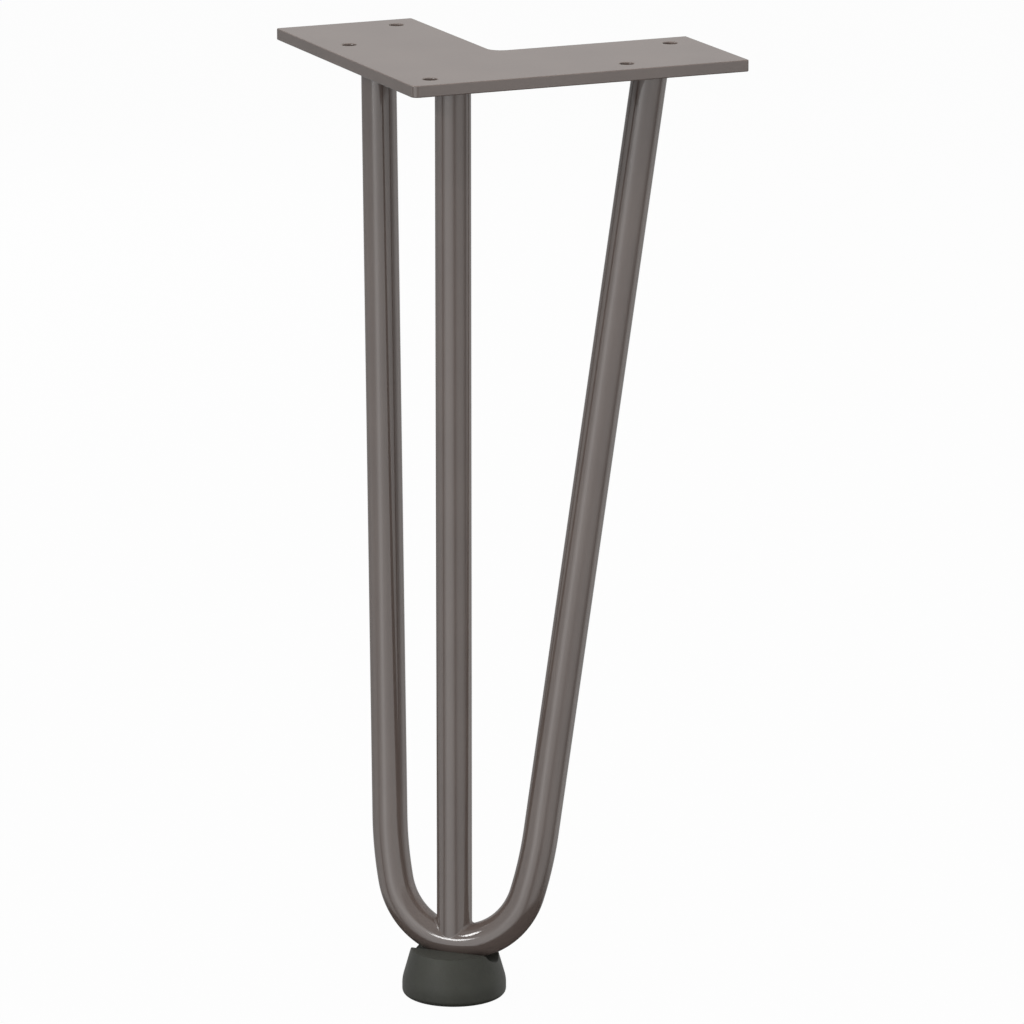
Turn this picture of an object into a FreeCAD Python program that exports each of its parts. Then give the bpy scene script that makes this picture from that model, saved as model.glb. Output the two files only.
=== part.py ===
import FreeCAD, Part
import math
import os
from FreeCAD import Vector

# Hairpin table leg: an L-shaped mounting plate, one rod bent into a hairpin,
# a straight centre rod that lands on its bend, and a moulded foot under both.
# Millimetres. The origin is on the plate's top face, above the centre rod.
# +Z is up and the outer corner of the plate points to -Y. The plate, the centre rod
# and the foot are even about X = 0, and the bent rod stands a little to +X of them.

# Overall size
overall_height = 318.8          # top face of the plate to the floor

# Mounting plate
arm_length = 121.0              # outer corner to the end of an arm
arm_width = 50.0
plate_thickness = 4.0
outer_corner_round = 2.5
inner_corner_round = 5.0
arm_end_round = 0.8
plate_edge_chamfer = 0.35

# Screw holes, each place measured to the hole's centre
screw_hole_diameter = 5.0
corner_screw_inset = 10.35      # from both outer edges
end_screw_from_arm_end = 10.5
end_screw_from_inner_edge = 10.0
side_screw_from_outer_edge = 10.5

# Rods
rod_diameter = 12.0
leg_from_arm_end = 25.6         # centre of a hairpin leg at the plate, before its offset
leg_from_outer_edge = 25.7
hairpin_offset = 1.4            # the whole bent rod stands this far to +X
centre_rod_from_outer_edge = 24.4
bend_radius = 24.8              # to the rod's centre line, round the bottom
shoulder_radius = 133.0         # the easy curve from the bend into each leg
bend_half_sweep = 75.7          # degrees from the lowest point to the shoulder
centre_rod_end_rise = 1.6       # square end of the centre rod above the bend's centre line
centre_rod_behind_bend = 0.5    # the centre rod's low end stands this far to +Y of the bend

# Foot
foot_ahead_of_origin = 1.94     # the foot and the bend, to -Y
foot_diameter = 35.4
foot_height = 16.15
foot_rim_diameter = 29.2
foot_straight_side = 5.3        # height where the side starts to taper
foot_side_round = 12.0
foot_base_round = 1.9
foot_rim_chamfer = 0.4
base_round_steps = 3            # straight steps that make up each round
side_round_steps = 2
channel_depth = 3.6             # straight channel across the rim, where the bend lies
channel_clearance = 0.1

# Welds
plate_weld_size = 2.8
plate_weld_toe = 0.7            # how thick a bead still is at its lower end

rod_radius = rod_diameter / 2
diagonal = math.sqrt(2)
outer_corner_y = -centre_rod_from_outer_edge * diagonal
plate_underside = -plate_thickness
floor_z = -overall_height
rim_z = floor_z + foot_height
bend_low_z = rim_z - channel_depth + rod_radius
centre_rod_end_z = bend_low_z + centre_rod_end_rise
foot_axis_y = -foot_ahead_of_origin
reach = arm_length + overall_height     # longer than anything, for cutting bodies


def on_plate(along_right, along_left, z=0.0):
    # A point measured from the plate's outer corner along its right and left arms
    x = (along_right - along_left) / diagonal
    y = (along_right + along_left) / diagonal + outer_corner_y
    return Vector(x, y, z)


def corner_arc(before_corner, corner, after_corner, radius):
    # Start, middle and end of the arc that rounds a corner
    before = (before_corner - corner).normalize()
    after = (after_corner - corner).normalize()
    half_angle = before.getAngle(after) / 2
    setback = radius / math.tan(half_angle)
    bisector = (before + after).normalize()
    centre = corner + bisector * (radius / math.sin(half_angle))
    return corner + before * setback, centre - bisector * radius, corner + after * setback


def rounded_outline(corners):
    # A closed wire through the corners, each given with the radius that rounds it
    arcs = []
    for index, (corner, radius) in enumerate(corners):
        before = corners[index - 1][0]
        after = corners[(index + 1) % len(corners)][0]
        arcs.append(corner_arc(before, corner, after, radius))
    edges = []
    for index, (start, middle, end) in enumerate(arcs):
        edges.append(Part.Arc(start, middle, end).toShape())
        next_start = arcs[(index + 1) % len(arcs)][0]
        edges.append(Part.LineSegment(end, next_start).toShape())
    return Part.Wire(edges)


def above(height):
    # Everything above a level, as a cutting body
    return Part.makeBox(2 * reach, 2 * reach, reach, Vector(-reach, -reach, height))


def below(height):
    return Part.makeBox(2 * reach, 2 * reach, reach, Vector(-reach, -reach, height - reach))


def screw_places():
    end_along = arm_length - end_screw_from_arm_end
    end_across = arm_width - end_screw_from_inner_edge
    # The side screw stands square behind the end screw, so the four make a rectangle
    side_along = end_along - end_across + side_screw_from_outer_edge
    pairs = [
        (corner_screw_inset, corner_screw_inset),
        (side_along, side_screw_from_outer_edge),
        (side_screw_from_outer_edge, side_along),
        (end_along, end_across),
        (end_across, end_along),
    ]
    return [on_plate(right, left, plate_underside) for right, left in pairs]


def leg_tops():
    near_end = arm_length - leg_from_arm_end
    offset = Vector(hairpin_offset, 0, 0)
    right = on_plate(near_end, leg_from_outer_edge, plate_underside)
    left = on_plate(leg_from_outer_edge, near_end, plate_underside)
    return left + offset, right + offset


def centre_rod_top():
    return on_plate(centre_rod_from_outer_edge, centre_rod_from_outer_edge, plate_underside)


def make_mounting_plate():
    outline = rounded_outline([
        (on_plate(0, 0), outer_corner_round),
        (on_plate(arm_length, 0), arm_end_round),
        (on_plate(arm_length, arm_width), arm_end_round),
        (on_plate(arm_width, arm_width), inner_corner_round),
        (on_plate(arm_width, arm_length), arm_end_round),
        (on_plate(0, arm_length), arm_end_round),
    ])
    plate = Part.Face(outline).extrude(Vector(0, 0, plate_underside))
    rim_edges = [edge for edge in plate.Edges if edge.BoundBox.ZLength < plate_edge_chamfer]
    plate = plate.makeChamfer(plate_edge_chamfer, rim_edges)
    for place in screw_places():
        hole = Part.makeCylinder(screw_hole_diameter / 2, plate_thickness, place)
        plate = plate.cut(hole)
    return plate


def hairpin_lean():
    # The bend's lowest point, and the line from it up to midway between the leg tops
    top_left, top_right = leg_tops()
    lowest = Vector(hairpin_offset, foot_axis_y, bend_low_z)
    return lowest, (top_left + top_right) / 2 - lowest


def in_hairpin_plane(sideways, height):
    lowest, rise = hairpin_lean()
    return lowest + Vector(sideways, 0, 0) + rise.normalize() * height


def make_hairpin_rod():
    rise_length = hairpin_lean()[1].Length
    half_span = leg_tops()[1].x - hairpin_offset
    sweep = math.radians(bend_half_sweep)
    bend_end = (bend_radius * math.sin(sweep), bend_radius * (1 - math.cos(sweep)))
    shoulder_x = bend_end[0] - shoulder_radius * math.sin(sweep)
    shoulder_y = bend_end[1] + shoulder_radius * math.cos(sweep)
    # The leg is the tangent from the plate to the shoulder curve
    run_x = half_span - shoulder_x
    run_y = rise_length - shoulder_y
    lean = math.atan2(run_x, run_y) - math.asin(shoulder_radius / math.hypot(run_x, run_y))

    def on_shoulder(angle):
        sideways = shoulder_x + shoulder_radius * math.cos(angle)
        return sideways, shoulder_y - shoulder_radius * math.sin(angle)

    leg_end = on_shoulder(lean)
    shoulder_middle = on_shoulder((lean + math.pi / 2 - sweep) / 2)
    # The legs run on through the plate, and are cut flush with its underside below
    overrun = rod_diameter
    leg_start = (half_span + overrun * math.sin(lean), rise_length + overrun * math.cos(lean))

    edges = []
    for side in (-1, 1):
        start = in_hairpin_plane(side * leg_start[0], leg_start[1])
        end = in_hairpin_plane(side * leg_end[0], leg_end[1])
        middle = in_hairpin_plane(side * shoulder_middle[0], shoulder_middle[1])
        join = in_hairpin_plane(side * bend_end[0], bend_end[1])
        leg = Part.LineSegment(start, end).toShape()
        shoulder = Part.Arc(end, middle, join).toShape()
        edges.extend([leg, shoulder])
    bend_start, bend_stop = [in_hairpin_plane(side * bend_end[0], bend_end[1]) for side in (-1, 1)]
    edges.append(Part.Arc(bend_start, in_hairpin_plane(0, 0), bend_stop).toShape())
    path = Part.Wire(Part.__sortEdges__(edges))

    first = in_hairpin_plane(-leg_start[0], leg_start[1])
    direction = in_hairpin_plane(-leg_end[0], leg_end[1]) - first
    section = Part.Wire(Part.makeCircle(rod_radius, first, direction))
    rod = path.makePipeShell([section], True, False)
    return rod.cut(above(plate_underside))


def make_centre_rod(hairpin_rod):
    top = centre_rod_top()
    low = Vector(0, foot_axis_y + centre_rod_behind_bend, centre_rod_end_z)
    direction = (low - top).normalize()
    start = top - direction * rod_diameter
    length = (low - top).Length + 2 * rod_diameter
    rod = Part.makeCylinder(rod_radius, length, start, direction)
    rod = rod.cut(above(plate_underside)).cut(below(centre_rod_end_z))
    return rod.cut(hairpin_rod)


def make_foot():
    axis_base = Vector(0, foot_axis_y, floor_z)
    base_corner = Vector(foot_diameter / 2, foot_axis_y, floor_z)
    side_corner = base_corner + Vector(0, 0, foot_straight_side)
    rim_corner = Vector(foot_rim_diameter / 2, foot_axis_y, rim_z)
    axis_rim = Vector(0, foot_axis_y, rim_z)
    base_arc = corner_arc(axis_base, base_corner, side_corner, foot_base_round)
    side_arc = corner_arc(base_corner, side_corner, rim_corner, foot_side_round)
    taper = (side_corner - rim_corner).normalize()
    profile_points = [
        axis_base,
        *Part.Arc(*base_arc).toShape().discretize(base_round_steps + 1),
        *Part.Arc(*side_arc).toShape().discretize(side_round_steps + 1),
        rim_corner + taper * foot_rim_chamfer,
        rim_corner - Vector(foot_rim_chamfer, 0, 0),
        axis_rim,
    ]
    profile = Part.Face(Part.makePolygon(profile_points + profile_points[:1]))
    body = profile.revolve(axis_base, Vector(0, 0, 1), 360)
    channel_radius = rod_radius + channel_clearance
    channel_z = rim_z - channel_depth + channel_radius
    channel_start = Vector(-foot_diameter, foot_axis_y, channel_z)
    channel = Part.makeCylinder(channel_radius, 2 * foot_diameter, channel_start, Vector(1, 0, 0))
    return body.cut(channel)


def make_plate_welds(hairpin_rod, centre_rod):
    # One bead round each rod where it meets the plate
    beads = []
    for place in (*leg_tops(), centre_rod_top()):
        wide_radius = rod_radius + plate_weld_size
        toe_radius = rod_radius + plate_weld_toe
        bead = Part.makeCone(wide_radius, toe_radius, plate_weld_size, place, Vector(0, 0, -1))
        beads.append(bead.cut(hairpin_rod).cut(centre_rod))
    return Part.makeCompound(beads)


def main():
    os.makedirs("parts", exist_ok=True)
    hairpin_rod = make_hairpin_rod()
    centre_rod = make_centre_rod(hairpin_rod)
    nodes = {
        "mounting_plate": make_mounting_plate(),
        "hairpin_rod": hairpin_rod,
        "centre_rod": centre_rod,
        "foot": make_foot(),
        "plate_welds": make_plate_welds(hairpin_rod, centre_rod),
    }
    for name, shape in nodes.items():
        shape.exportStep(f"parts/{name}.step")
        print(name, len(shape.Solids), "solid(s)", round(shape.Volume), "mm3", shape.isValid())


main()
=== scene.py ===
import math
import bpy
import bmesh
from mathutils import Matrix, Vector


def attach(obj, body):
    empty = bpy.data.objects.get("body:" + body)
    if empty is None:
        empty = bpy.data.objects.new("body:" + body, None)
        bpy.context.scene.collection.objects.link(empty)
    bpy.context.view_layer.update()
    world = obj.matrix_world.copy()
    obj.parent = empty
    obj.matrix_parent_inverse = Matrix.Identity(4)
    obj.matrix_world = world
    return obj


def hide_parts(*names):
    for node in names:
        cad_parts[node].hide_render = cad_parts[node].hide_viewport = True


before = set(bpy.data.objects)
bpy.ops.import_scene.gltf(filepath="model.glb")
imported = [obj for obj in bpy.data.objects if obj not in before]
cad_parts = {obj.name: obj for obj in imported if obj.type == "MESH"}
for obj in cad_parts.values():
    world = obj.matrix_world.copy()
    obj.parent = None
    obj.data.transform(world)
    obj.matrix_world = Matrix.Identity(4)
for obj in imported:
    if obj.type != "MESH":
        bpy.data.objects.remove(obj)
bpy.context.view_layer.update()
mm = 0.001
print("frame loaded:", sorted(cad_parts))


# shared helpers

def turned(angle, radius):
    return radius * math.cos(angle), radius * math.sin(angle)


def circle(sides, radius):
    return [turned(math.tau * side / sides, radius) for side in range(sides)]


def link(name, data):
    item = bpy.data.objects.new(name, data)
    bpy.context.scene.collection.objects.link(item)
    return item


def makePiece(name, points, faces, smoothAngle=40):
    mesh = bpy.data.meshes.new(name)
    mesh.from_pydata([tuple(p) for p in points], [], faces)
    piece = link(name, mesh)
    mendMesh(mesh, smoothAngle)
    return piece


def mendMesh(mesh, smoothAngle):
    # outward faces, then smooth shading that stops at real edges
    work = bmesh.new()
    work.from_mesh(mesh)
    bmesh.ops.recalc_face_normals(work, faces=work.faces)
    if work.calc_volume(signed=True) < 0:
        bmesh.ops.reverse_faces(work, faces=work.faces)
    work.to_mesh(mesh)
    work.free()
    mesh.shade_smooth()
    mesh.set_sharp_from_angle(angle=math.radians(smoothAngle))


def tubeFaces(rings, sides):
    # quads between rings of points that follow each other in one list, and both ends
    faces = []
    for below in range(0, (rings - 1) * sides, sides):
        above = below + sides
        for side in range(sides):
            after = (side + 1) % sides
            faces.append((below + side, below + after, above + after, above + side))
    faces.append(tuple(range(sides)))
    faces.append(tuple(range((rings - 1) * sides, rings * sides)))
    return faces


def roundCorner(before, corner, after, radius, steps=8):
    # the arc that rounds a corner of a flat outline
    corner = Vector(corner)
    first = (Vector(before) - corner).normalized()
    last = (Vector(after) - corner).normalized()
    half = first.angle(last) / 2
    middle = corner + (first + last).normalized() * radius / math.sin(half)
    start = corner + first * radius / math.tan(half) - middle
    end = corner + last * radius / math.tan(half) - middle
    turn = start.angle_signed(end)
    return [middle + Matrix.Rotation(-turn * k / steps, 2) @ start for k in range(steps + 1)]


def shapedMesh(item):
    # the mesh that a curve, or a piece with modifiers, comes to
    view = bpy.context.evaluated_depsgraph_get()
    return bpy.data.meshes.new_from_object(item.evaluated_get(view))


def dress(piece, material, node):
    piece.data.materials.clear()
    piece.data.materials.append(material)
    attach(piece, "root")
    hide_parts(node)


# materials

noiseSpan = {"tone": (0.35, 0.65), "gloss": (0.3, 0.7)}     # the part of a noise that is used


def newMaterial(name):
    material = bpy.data.materials.new(name)
    material.use_nodes = True
    tree = material.node_tree
    return material, tree, tree.nodes["Principled BSDF"]


def noise(tree, scale, detail=3.0, roughness=0.5):
    place = tree.nodes.new("ShaderNodeTexCoord")
    texture = tree.nodes.new("ShaderNodeTexNoise")
    texture.inputs["Scale"].default_value = scale
    texture.inputs["Detail"].default_value = detail
    texture.inputs["Roughness"].default_value = roughness
    tree.links.new(place.outputs["Object"], texture.inputs["Vector"])
    return texture.outputs["Fac"]


def blendColours(tree, factor, first, second):
    ramp = tree.nodes.new("ShaderNodeValToRGB")
    for stop, place, colour in zip(ramp.color_ramp.elements, noiseSpan["tone"], (first, second)):
        stop.position = place
        stop.color = (*colour, 1)
    tree.links.new(factor, ramp.inputs["Fac"])
    return ramp.outputs["Color"]


def spread(tree, factor, low, high):
    remap = tree.nodes.new("ShaderNodeMapRange")
    remap.inputs["From Min"].default_value = noiseSpan["gloss"][0]
    remap.inputs["From Max"].default_value = noiseSpan["gloss"][1]
    remap.inputs["To Min"].default_value = low
    remap.inputs["To Max"].default_value = high
    tree.links.new(factor, remap.inputs["Value"])
    return remap.outputs["Result"]


def bump(tree, height, depth, strength, under=None):
    node = tree.nodes.new("ShaderNodeBump")
    node.inputs["Strength"].default_value = strength
    node.inputs["Distance"].default_value = depth
    tree.links.new(height, node.inputs["Height"])
    if under:
        tree.links.new(under, node.inputs["Normal"])
    return node.outputs["Normal"]


coat = {
    "dark": (0.153, 0.119, 0.105),
    "light": (0.167, 0.131, 0.115),
    "roughness": (0.06, 0.11),
    "ior": 1.69,
    "cloudScale": 38,
    "peelScale": 950,
    "peelDepth": 0.02 * mm,
    "grainScale": 4200,
    "grainDepth": 0.01 * mm,
    "reliefStrength": 0.10,
}


def makeCoat():
    # stoved powder coat: even warm grey, a fine orange peel and a soft gloss
    material, tree, shader = newMaterial("warmGreyPowderCoat")
    cloud = noise(tree, coat["cloudScale"])
    peel = noise(tree, coat["peelScale"], 2.0)
    grain = noise(tree, coat["grainScale"], 2.0)
    colour = blendColours(tree, cloud, coat["dark"], coat["light"])
    tree.links.new(colour, shader.inputs["Base Color"])
    tree.links.new(spread(tree, peel, *coat["roughness"]), shader.inputs["Roughness"])
    shader.inputs["IOR"].default_value = coat["ior"]
    fine = bump(tree, grain, coat["grainDepth"], coat["reliefStrength"])
    relief = bump(tree, peel, coat["peelDepth"], coat["reliefStrength"], fine)
    tree.links.new(relief, shader.inputs["Normal"])
    return material


plastic = {
    "dark": (0.031, 0.032, 0.025),
    "light": (0.039, 0.040, 0.031),
    "roughness": (0.50, 0.62),
    "sheen": 0.10,
    "sheenRoughness": 0.40,
    "cloudScale": 120,
    "grainScale": 2600,
    "grainDepth": 0.04 * mm,
    "reliefStrength": 0.3,
}


def makeFootPlastic():
    # moulded plastic with the fine even grain of the tool
    material, tree, shader = newMaterial("darkMouldedPlastic")
    cloud = noise(tree, plastic["cloudScale"])
    grain = noise(tree, plastic["grainScale"], 3.0, 0.6)
    colour = blendColours(tree, cloud, plastic["dark"], plastic["light"])
    tree.links.new(colour, shader.inputs["Base Color"])
    tree.links.new(spread(tree, grain, *plastic["roughness"]), shader.inputs["Roughness"])
    shader.inputs["Sheen Weight"].default_value = plastic["sheen"]
    shader.inputs["Sheen Roughness"].default_value = plastic["sheenRoughness"]
    relief = bump(tree, grain, plastic["grainDepth"], plastic["reliefStrength"])
    tree.links.new(relief, shader.inputs["Normal"])
    return material


powderCoat = makeCoat()
footPlastic = makeFootPlastic()
print("materials made")


# mounting plate: an L with rounded edges and five plain screw holes

plate = {
    "armLength": 121.0 * mm,
    "armWidth": 50.0 * mm,
    "thickness": 4.0 * mm,
    "rodToOuterEdge": 24.4 * mm,    # the centre rod's top, square from both outer edges
    "outerCorner": 2.5 * mm,
    "innerCorner": 5.0 * mm,
    "armCorner": 0.8 * mm,
    "edgeRound": 0.4 * mm,
    "edgeSteps": 3,
    "holeRadius": 2.5 * mm,
    "holeSides": 48,
    "cornerHole": (10.35 * mm, 10.35 * mm),     # along the right and left arms
    "endHole": (110.5 * mm, 40.0 * mm),
    "sideHole": (81.0 * mm, 10.5 * mm),
    "mergeGap": 0.005 * mm,
    "smoothAngle": 50,
}
underside = -plate["thickness"]


def onPlate(right, left):
    # from the outer corner along the right and left arms to the leg's own X and Y
    corner = -plate["rodToOuterEdge"] * math.sqrt(2)
    return (right - left) / math.sqrt(2), (right + left) / math.sqrt(2) + corner


def plateLoops():
    # the plate's outline, then its five holes
    long, wide = plate["armLength"], plate["armWidth"]
    corners = [
        (onPlate(0, 0), plate["outerCorner"]),
        (onPlate(long, 0), plate["armCorner"]),
        (onPlate(long, wide), plate["armCorner"]),
        (onPlate(wide, wide), plate["innerCorner"]),
        (onPlate(wide, long), plate["armCorner"]),
        (onPlate(0, long), plate["armCorner"]),
    ]
    outline = []
    for index, (corner, radius) in enumerate(corners):
        before = corners[index - 1][0]
        after = corners[(index + 1) % len(corners)][0]
        outline += roundCorner(before, corner, after, radius)
    loops = [outline]
    endHole, sideHole = plate["endHole"], plate["sideHole"]
    for right, left in (plate["cornerHole"], endHole, endHole[::-1], sideHole, sideHole[::-1]):
        centre = Vector(onPlate(right, left))
        rim = circle(plate["holeSides"], plate["holeRadius"])
        loops.append([centre + Vector(place) for place in rim])
    return loops


def makePlate():
    curve = bpy.data.curves.new("plateOutline", "CURVE")
    curve.dimensions = "2D"
    curve.fill_mode = "BOTH"
    curve.bevel_depth = plate["edgeRound"]
    curve.bevel_resolution = plate["edgeSteps"]
    curve.offset = -plate["edgeRound"]
    curve.extrude = plate["thickness"] / 2 - plate["edgeRound"]
    for loop in plateLoops():
        spline = curve.splines.new("POLY")
        spline.points.add(len(loop) - 1)
        for point, place in zip(spline.points, loop):
            point.co = (*place, 0, 1)
        spline.use_cyclic_u = True
    shape = link("plateShape", curve)
    mesh = shapedMesh(shape)
    bpy.data.objects.remove(shape)
    mesh.transform(Matrix.Translation((0, 0, underside / 2)))
    work = bmesh.new()
    work.from_mesh(mesh)
    bmesh.ops.remove_doubles(work, verts=work.verts, dist=plate["mergeGap"])
    work.to_mesh(mesh)
    work.free()
    mendMesh(mesh, plate["smoothAngle"])
    piece = link("mountingPlate", mesh)
    weighted = piece.modifiers.new("flatFaces", "WEIGHTED_NORMAL")
    weighted.keep_sharp = True
    weighted.weight = 100       # the large flat faces decide
    return piece


dress(makePlate(), powderCoat, "mounting_plate")
print("plate made")


# rods: the hairpin lies in one leaning plane, the centre rod is coped onto its bend

rods = {
    "radius": 6.0 * mm,
    "sides": 72,
    "hairpinOffset": 1.4 * mm,      # the whole hairpin stands this far to +X
    "legTop": Vector((49.285, 51.124, -4.0)) * mm,  # right leg, before the offset
    "lowest": Vector((0, -1.94, -300.25)) * mm,     # centre of the bend's lowest point
    "bendRadius": 24.8 * mm,
    "bendSweep": math.radians(75.7),                # from the lowest point to the shoulder
    "bendSteps": 40,
    "shoulderRadius": 133.0 * mm,
    "shoulderSteps": 16,
    "legSteps": 12,
    "centreTop": Vector((0, 0, -4.0)) * mm,
    "centreLow": Vector((0, -1.44, -298.65)) * mm,
    "centreSteps": 12,
    "copeFillet": 0.9 * mm,     # weld metal that rounds the joint with the bend
    "copeSteps": 6,
    "copeHalvings": 40,
    "hiddenEnd": 0.8,           # share of the bend's radius where the hidden end lies
}
across = Vector((1, 0, 0))
hairpinShift = across * rods["hairpinOffset"]


def hairpinRise():
    # from the bend's lowest point to midway between the leg tops
    return Vector((0, rods["legTop"].y, rods["legTop"].z)) - rods["lowest"]


def hairpinHalf():
    # the right half flat in its plane: places and headings, from the bend up to the plate
    bend, sweep, shoulder = rods["bendRadius"], rods["bendSweep"], rods["shoulderRadius"]
    bendEnd = Vector((bend * math.sin(sweep), bend * (1 - math.cos(sweep))))
    hub = bendEnd + Vector((-math.sin(sweep), math.cos(sweep))) * shoulder
    run = Vector((rods["legTop"].x, hairpinRise().length)) - hub
    lean = math.atan2(run.x, run.y) - math.asin(shoulder / run.length)
    full = math.pi / 2 - lean
    half = []
    for k in range(1, rods["bendSteps"] + 1):
        angle = sweep * k / rods["bendSteps"]
        half.append((Vector((0, bend)) + Vector(turned(angle - math.pi / 2, bend)), angle))
    for k in range(1, rods["shoulderSteps"] + 1):
        angle = sweep + (full - sweep) * k / rods["shoulderSteps"]
        half.append((hub + Vector(turned(angle - math.pi / 2, shoulder)), angle))
    last = half[-1][0]
    tangent = Vector((math.sin(lean), math.cos(lean)))
    reach = (rods["legTop"].x - last.x) / tangent.x
    for k in range(1, rods["legSteps"] + 1):
        half.append((last + tangent * reach * k / rods["legSteps"], full))
    return half


def hairpinLine():
    # centre, heading and inward direction all along the rod, from the left leg's top
    up = hairpinRise().normalized()
    start = rods["lowest"] + hairpinShift
    right = hairpinHalf()
    left = [(Vector((-place.x, place.y)), -angle) for place, angle in reversed(right)]
    line = []
    for place, angle in left + [(Vector((0, 0)), 0.0)] + right:
        centre = start + across * place.x + up * place.y
        heading = across * math.cos(angle) + up * math.sin(angle)
        line.append((centre, heading, up * math.cos(angle) - across * math.sin(angle)))
    return line


def makeHairpin():
    line = hairpinLine()
    points = []
    for index, (centre, heading, inward) in enumerate(line):
        outOfPlane = heading.cross(inward)
        for a, b in circle(rods["sides"], rods["radius"]):
            point = centre + inward * a + outOfPlane * b
            if index in (0, len(line) - 1):     # flush with the plate's underside
                point += heading * (underside - point.z) / heading.z
            points.append(point)
    return makePiece("hairpinRod", points, tubeFaces(len(line), rods["sides"]))


def nearestOnBend(point):
    # the closest place on the bend's centre line
    up = hairpinRise().normalized()
    hub = rods["lowest"] + hairpinShift + up * rods["bendRadius"]
    normal = across.cross(up)
    flat = point - hub - normal * (point - hub).dot(normal)
    return hub + flat.normalized() * rods["bendRadius"]


def makeCentreRod():
    # each line down the rod stops where a small ball would rest between rod and bend
    radius, fillet = rods["radius"], rods["copeFillet"]
    top, low = rods["centreTop"], rods["centreLow"]
    heading = (top - low).normalized()
    forward = heading.cross(across)
    lines = []
    for a, b in circle(rods["sides"], 1.0):
        out = across * a + forward * b
        start = low + out * radius
        inside, clear = 0.0, 4 * radius     # never below the rod's square end
        for halving in range(rods["copeHalvings"]):
            middle = (inside + clear) / 2
            ball = start + heading * middle + out * fillet
            if (ball - nearestOnBend(ball)).length > radius + fillet:
                clear = middle
            else:
                inside = middle
        ball = start + heading * clear + out * fillet
        towards = (nearestOnBend(ball) - ball).normalized()
        line = [nearestOnBend(ball) - towards * radius * rods["hiddenEnd"]]
        for step in range(rods["copeSteps"], -1, -1):
            line.append(ball + (-out).slerp(towards, step / rods["copeSteps"]) * fillet)
        lines.append(line)
    rings = len(lines[0])
    points = [line[ring] for ring in range(rings) for line in lines]
    highest = max(line[-1].z for line in lines)
    for k in range(1, rods["centreSteps"] + 1):
        height = highest + (top.z - highest) * k / rods["centreSteps"]
        for a, b in circle(rods["sides"], radius):
            point = low + across * a + forward * b
            points.append(point + heading * (height - point.z) / heading.z)
    return makePiece("centreRod", points, tubeFaces(rings + rods["centreSteps"], rods["sides"]))


dress(makeHairpin(), powderCoat, "hairpin_rod")
dress(makeCentreRod(), powderCoat, "centre_rod")
print("rods made")


# foot: a turned cap with a straight channel across its rim, where the bend lies

foot = {
    "axis": Vector((0, -1.94, -318.8)) * mm,
    "radius": 17.7 * mm,
    "height": 16.15 * mm,
    "rimRadius": 14.6 * mm,
    "straightSide": 5.3 * mm,
    "baseRound": 1.9 * mm,
    "sideRound": 12.0 * mm,
    "rimRound": 0.5 * mm,
    "rimSteps": 5,
    "sides": 144,
    "smoothAngle": 30,
    "channelDepth": 3.6 * mm,
    "channelRadius": 6.1 * mm,
    "channelSides": 96,
    "channelOverrun": 1.2,      # half length of the cutting body, in foot radii
}


def makeChannelCutter():
    rimHeight = foot["axis"].z + foot["height"]
    height = rimHeight - foot["channelDepth"] + foot["channelRadius"]
    reach = foot["radius"] * foot["channelOverrun"]
    points = []
    for x in (-reach, reach):
        for a, b in circle(foot["channelSides"], foot["channelRadius"]):
            points.append(Vector((x, foot["axis"].y + a, height + b)))
    return makePiece("channelCutter", points, tubeFaces(2, foot["channelSides"]))


def makeFoot():
    base = (foot["radius"], 0.0)
    side = (foot["radius"], foot["straightSide"])
    rim = (foot["rimRadius"], foot["height"])
    profile = roundCorner((0, 0), base, side, foot["baseRound"])
    profile += roundCorner(base, side, rim, foot["sideRound"])
    profile += roundCorner(side, rim, (0, foot["height"]), foot["rimRound"], foot["rimSteps"])
    points = []
    for radius, height in profile:
        for x, y in circle(foot["sides"], radius):
            points.append(foot["axis"] + Vector((x, y, height)))
    faces = tubeFaces(len(profile), foot["sides"])
    piece = makePiece("mouldedFoot", points, faces, foot["smoothAngle"])
    cutter = makeChannelCutter()
    cut = piece.modifiers.new("channel", "BOOLEAN")
    cut.operation = "DIFFERENCE"
    cut.solver = "EXACT"
    cut.object = cutter
    mesh = shapedMesh(piece)
    piece.modifiers.clear()
    piece.data = mesh
    mendMesh(mesh, foot["smoothAngle"])
    bpy.data.objects.remove(cutter)
    return piece


dress(makeFoot(), footPlastic, "foot")
print("foot made")


# weld beads: a rippled fillet round each rod under the plate

weld = {
    "size": 2.8 * mm,
    "steps": 9,
    "sides": 132,
    "ripples": 22,
    "rippleDepth": 0.16 * mm,
    "bulge": 0.35 * mm,
    "smoothAngle": 60,
}


def beadPoints(top, heading):
    points = []
    for step in range(weld["steps"] + 1):
        t = step / weld["steps"]
        depth = weld["size"] * t
        centre = top + heading * (-depth / heading.z)
        for side in range(weld["sides"]):
            angle = math.tau * side / weld["sides"]
            ripple = weld["rippleDepth"] * abs(math.sin(angle * weld["ripples"] / 2))
            wide = rods["radius"] + weld["size"] * (1 - t)
            wide += (weld["bulge"] - ripple) * math.sin(math.pi * t)
            x, y = turned(angle, wide)
            points.append(Vector((centre.x + x, centre.y + y, underside - depth)))
    return points


def makePlateWelds():
    line = hairpinLine()
    right, centre = rods["legTop"], rods["centreTop"]
    left = Vector((-right.x, right.y, right.z))
    beads = [
        (right + hairpinShift, line[-1][1]),
        (left + hairpinShift, line[0][1]),
        (centre, (centre - rods["centreLow"]).normalized()),
    ]
    points, faces = [], []
    for top, heading in beads:
        start = len(points)
        points += beadPoints(top, heading)
        for face in tubeFaces(weld["steps"] + 1, weld["sides"]):
            faces.append(tuple(start + corner for corner in face))
    return makePiece("plateWelds", points, faces, weld["smoothAngle"])


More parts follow.
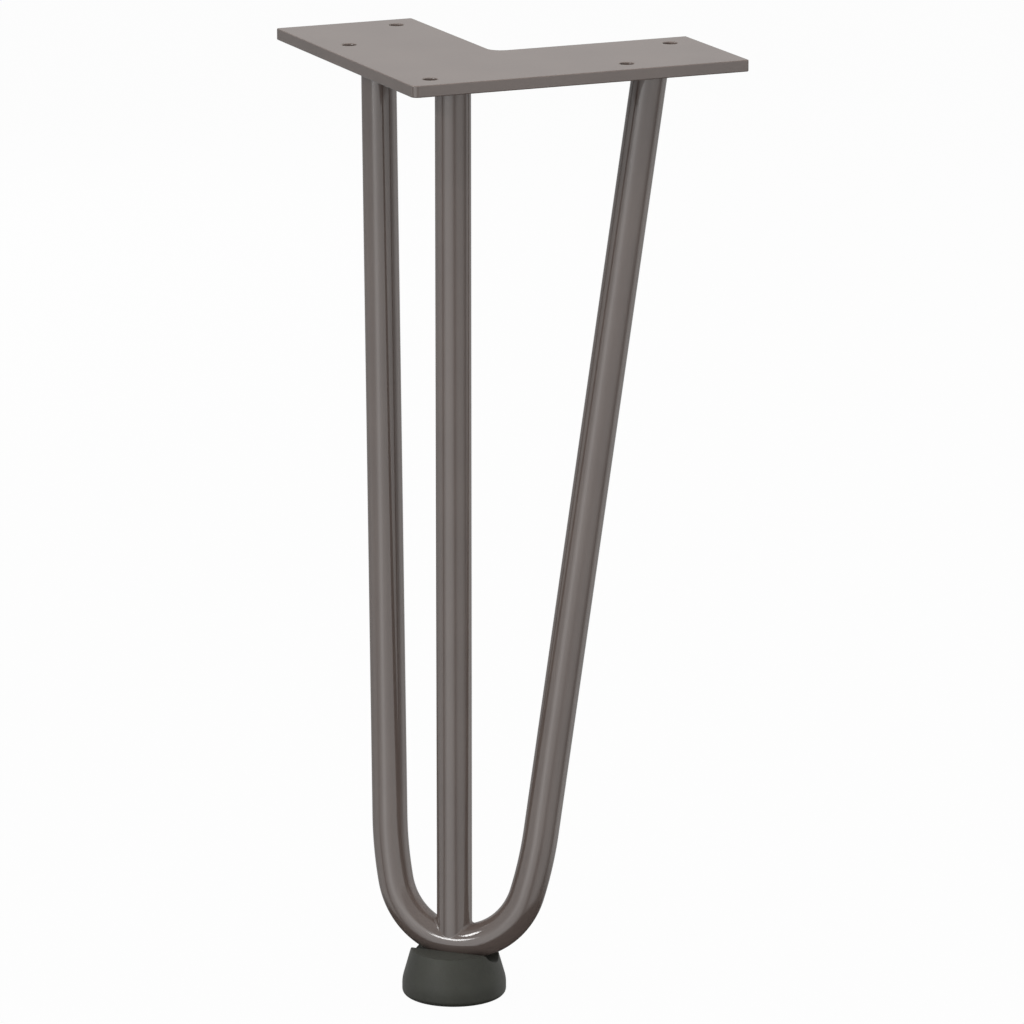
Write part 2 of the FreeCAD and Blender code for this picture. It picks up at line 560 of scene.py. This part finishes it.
dress(makePlateWelds(), powderCoat, "plate_welds")
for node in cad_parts.values():
    node.data.materials.clear()
    node.data.materials.append(footPlastic if node.name == "foot" else powderCoat)
print("welds made")


# studio: pale floor, white background, panels all round that only the gloss sees

studio = {
    "skyLight": 0.16,
    "panelPeak": 2.5,
    # what the gloss sees round the leg: bearing in degrees from -Y towards +X, brightness
    "lowPanels": [
        (-180, 0.45), (-115, 0.42), (-92, 0.65), (-80, 0.90), (-57, 0.95), (-51, 0.35),
        (-46, 0.35), (-40, 0.95), (-33, 1.10), (-27, 1.60), (-8, 1.65), (10, 1.40),
        (20, 1.00), (28, 0.45), (35, 0.45), (43, 0.85), (58, 1.05), (80, 1.00), (98, 0.50),
        (104, 0.30), (110, 0.30), (119, 0.85), (138, 1.00), (152, 0.60), (180, 0.45),
    ],
    "highPanels": [
        (-180, 0.50), (-115, 0.45), (-86, 0.65), (-70, 0.85), (-45, 0.95), (-32, 1.05),
        (-22, 1.65), (-12, 2.10), (-4, 1.90), (4, 1.50), (16, 1.30), (32, 1.12), (70, 1.10),
        (84, 0.95), (98, 0.50), (108, 0.45), (120, 0.90), (140, 1.00), (156, 0.60), (180, 0.50),
    ],
    "ceiling": 0.70,
    "ground": 0.02,
    # where one fades into the next, as the sine of the angle above the horizon
    "groundToPanels": (-0.54, -0.34),
    "lowToHigh": (-0.10, 0.02),
    "panelsToCeiling": (0.34, 0.56),
}


def nodeMath(tree, operation, first, second):
    node = tree.nodes.new("ShaderNodeMath")
    node.operation = operation
    for socket, value in zip(node.inputs, (first, second)):
        if isinstance(value, (int, float)):
            socket.default_value = value
        else:
            tree.links.new(value, socket)
    return node.outputs[0]


def panelGrey(level):
    return (*[level / studio["panelPeak"]] * 3, 1)


def panelRing(tree, turn, panels):
    ramp = tree.nodes.new("ShaderNodeValToRGB")
    stops = ramp.color_ramp.elements
    while len(stops) < len(panels):
        stops.new(0.5)
    for stop, (bearing, level) in zip(stops, panels):
        stop.position = 0.5 + bearing / 360     # all the places first, then the greys
    for stop, (bearing, level) in zip(stops, panels):
        stop.color = panelGrey(level)
    tree.links.new(turn, ramp.inputs["Fac"])
    return ramp.outputs["Color"]


def fadeBetween(tree, height, span, first, second):
    fade = tree.nodes.new("ShaderNodeMapRange")
    fade.interpolation_type = "SMOOTHSTEP"
    fade.inputs["From Min"].default_value = span[0]
    fade.inputs["From Max"].default_value = span[1]
    tree.links.new(height, fade.inputs["Value"])
    mix = tree.nodes.new("ShaderNodeMix")
    mix.data_type = "RGBA"
    tree.links.new(fade.outputs["Result"], mix.inputs["Factor"])
    for name, value in (("A", first), ("B", second)):
        socket = [s for s in mix.inputs if s.name == name and s.type == "RGBA"][0]
        if isinstance(value, tuple):
            socket.default_value = value
        else:
            tree.links.new(value, socket)
    return [s for s in mix.outputs if s.type == "RGBA"][0]


def mixShaders(tree, factor, first, second):
    mix = tree.nodes.new("ShaderNodeMixShader")
    for socket, value in zip(mix.inputs, (factor, first, second)):
        tree.links.new(value, socket)
    return mix.outputs[0]


def makeWorld():
    world = bpy.data.worlds.new("studio")
    bpy.context.scene.world = world
    world.use_nodes = True
    tree = world.node_tree
    tree.nodes.clear()
    path = tree.nodes.new("ShaderNodeLightPath")
    place = tree.nodes.new("ShaderNodeTexCoord")
    split = tree.nodes.new("ShaderNodeSeparateXYZ")
    tree.links.new(place.outputs["Generated"], split.inputs[0])
    x, y, z = split.outputs
    bearing = nodeMath(tree, "ARCTAN2", x, nodeMath(tree, "MULTIPLY", y, -1))
    turn = nodeMath(tree, "ADD", nodeMath(tree, "DIVIDE", bearing, math.tau), 0.5)
    low = panelRing(tree, turn, studio["lowPanels"])
    high = panelRing(tree, turn, studio["highPanels"])
    ring = fadeBetween(tree, z, studio["lowToHigh"], low, high)
    ground, ceiling = panelGrey(studio["ground"]), panelGrey(studio["ceiling"])
    walls = fadeBetween(tree, z, studio["groundToPanels"], ground, ring)
    panels = fadeBetween(tree, z, studio["panelsToCeiling"], walls, ceiling)

    backgrounds = []
    for strength in (studio["skyLight"], studio["panelPeak"], 1.0):
        light = tree.nodes.new("ShaderNodeBackground")
        light.inputs["Strength"].default_value = strength
        light.inputs["Color"].default_value = (1, 1, 1, 1)
        backgrounds.append(light)
    tree.links.new(panels, backgrounds[1].inputs["Color"])
    sky, gloss, white = [light.outputs[0] for light in backgrounds]
    direct, through = path.outputs["Is Camera Ray"], path.outputs["Is Transmission Ray"]
    seen = nodeMath(tree, "MAXIMUM", direct, through)
    lit = mixShaders(tree, path.outputs["Is Glossy Ray"], sky, gloss)
    output = tree.nodes.new("ShaderNodeOutputWorld")
    tree.links.new(mixShaders(tree, seen, lit, white), output.inputs["Surface"])


floorPlane = {
    "half": 6.0,
    "gap": 0.2 * mm,        # just clear of the foot's flat base
    "colour": (0.42, 0.42, 0.42, 1),
    "roughness": 0.9,
    "glow": 0.975,          # the share of plain white in it, which only the camera sees
}


def makeFloor():
    level = foot["axis"].z - floorPlane["gap"]
    far = floorPlane["half"]
    corners = [(x, y, level) for x, y in ((-far, -far), (far, -far), (far, far), (-far, far))]
    floor = makePiece("floor", corners, [(0, 1, 2, 3)])
    material, tree, shader = newMaterial("paleFloor")
    shader.inputs["Base Color"].default_value = floorPlane["colour"]
    shader.inputs["Roughness"].default_value = floorPlane["roughness"]
    glow = tree.nodes.new("ShaderNodeEmission").outputs[0]
    path = tree.nodes.new("ShaderNodeLightPath")
    share = nodeMath(tree, "MULTIPLY", path.outputs["Is Camera Ray"], floorPlane["glow"])
    surface = mixShaders(tree, share, shader.outputs[0], glow)
    tree.links.new(surface, tree.nodes["Material Output"].inputs["Surface"])
    floor.data.materials.append(material)
    floor.visible_glossy = False    # the gloss sees the panels below the horizon too


# soft boxes on a ball round the bend: angles in degrees, then metres and watts
lamps = {
    "frontBox": {"bearing": -22, "rise": 18.5, "away": 4.0, "size": (0.70, 0.58), "power": 13.5},
    "sideBox": {"bearing": -45, "rise": 38, "away": 1.5, "size": (0.38, 0.20), "power": 3.2},
    "topBox": {"bearing": 0, "rise": 90, "away": 0.65, "size": (0.5, 0.5), "power": 2.2},
    "fillBox": {"bearing": 50, "rise": 22, "away": 0.80, "size": (0.4, 0.4), "power": 1.15},
    "backBoxRight": {"bearing": 150, "rise": 20, "away": 1.5, "size": (0.6, 0.6), "power": 6},
    "backBoxLeft": {"bearing": -140, "rise": 20, "away": 1.5, "size": (0.6, 0.6), "power": 6},
}
lampsInGloss = ("frontBox", "sideBox")      # the others would show as spots on the rods


def makeLamp(name, facts):
    lamp = bpy.data.lights.new(name, "AREA")
    lamp.shape = "RECTANGLE"
    lamp.size, lamp.size_y = facts["size"]
    lamp.energy = facts["power"]
    turn, rise = math.radians(facts["bearing"]), math.radians(facts["rise"])
    level = math.cos(rise)
    towards = Vector((math.sin(turn) * level, -math.cos(turn) * level, math.sin(rise)))
    holder = link(name, lamp)
    holder.location = rods["lowest"] + towards * facts["away"]
    holder.rotation_euler = (-towards).to_track_quat("-Z", "Y").to_euler()
    holder.visible_camera = False
    holder.visible_glossy = name in lampsInGloss


makeWorld()
makeFloor()
for name, facts in lamps.items():
    makeLamp(name, facts)
print("studio made")


# camera at the photograph's place

camera = {
    "place": Vector((0.812387, -2.009640, 0.391020)),
    "right": Vector((0.93057564, 0.36609637, -0.00155647)),
    "up": Vector((-0.08736732, 0.22620251, 0.97015431)),
    "lens": 234.411,
    "sensor": 36,
    "halfPixel": 0.5 / 1024,
    "farthest": 50,
}


def placeCamera():
    lens = bpy.data.cameras.new("camera")
    lens.lens = camera["lens"]
    lens.sensor_width = camera["sensor"]
    lens.shift_x = -camera["halfPixel"]
    lens.shift_y = camera["halfPixel"]
    lens.clip_end = camera["farthest"]
    right, up = camera["right"], camera["up"]
    facing = Matrix((right, up, right.cross(up))).transposed()
    viewer = link("camera", lens)
    viewer.matrix_world = Matrix.Translation(camera["place"]) @ facing.to_4x4()
    bpy.context.scene.camera = viewer


placeCamera()
bpy.context.scene.view_settings.view_transform = "Standard"
print("camera placed")
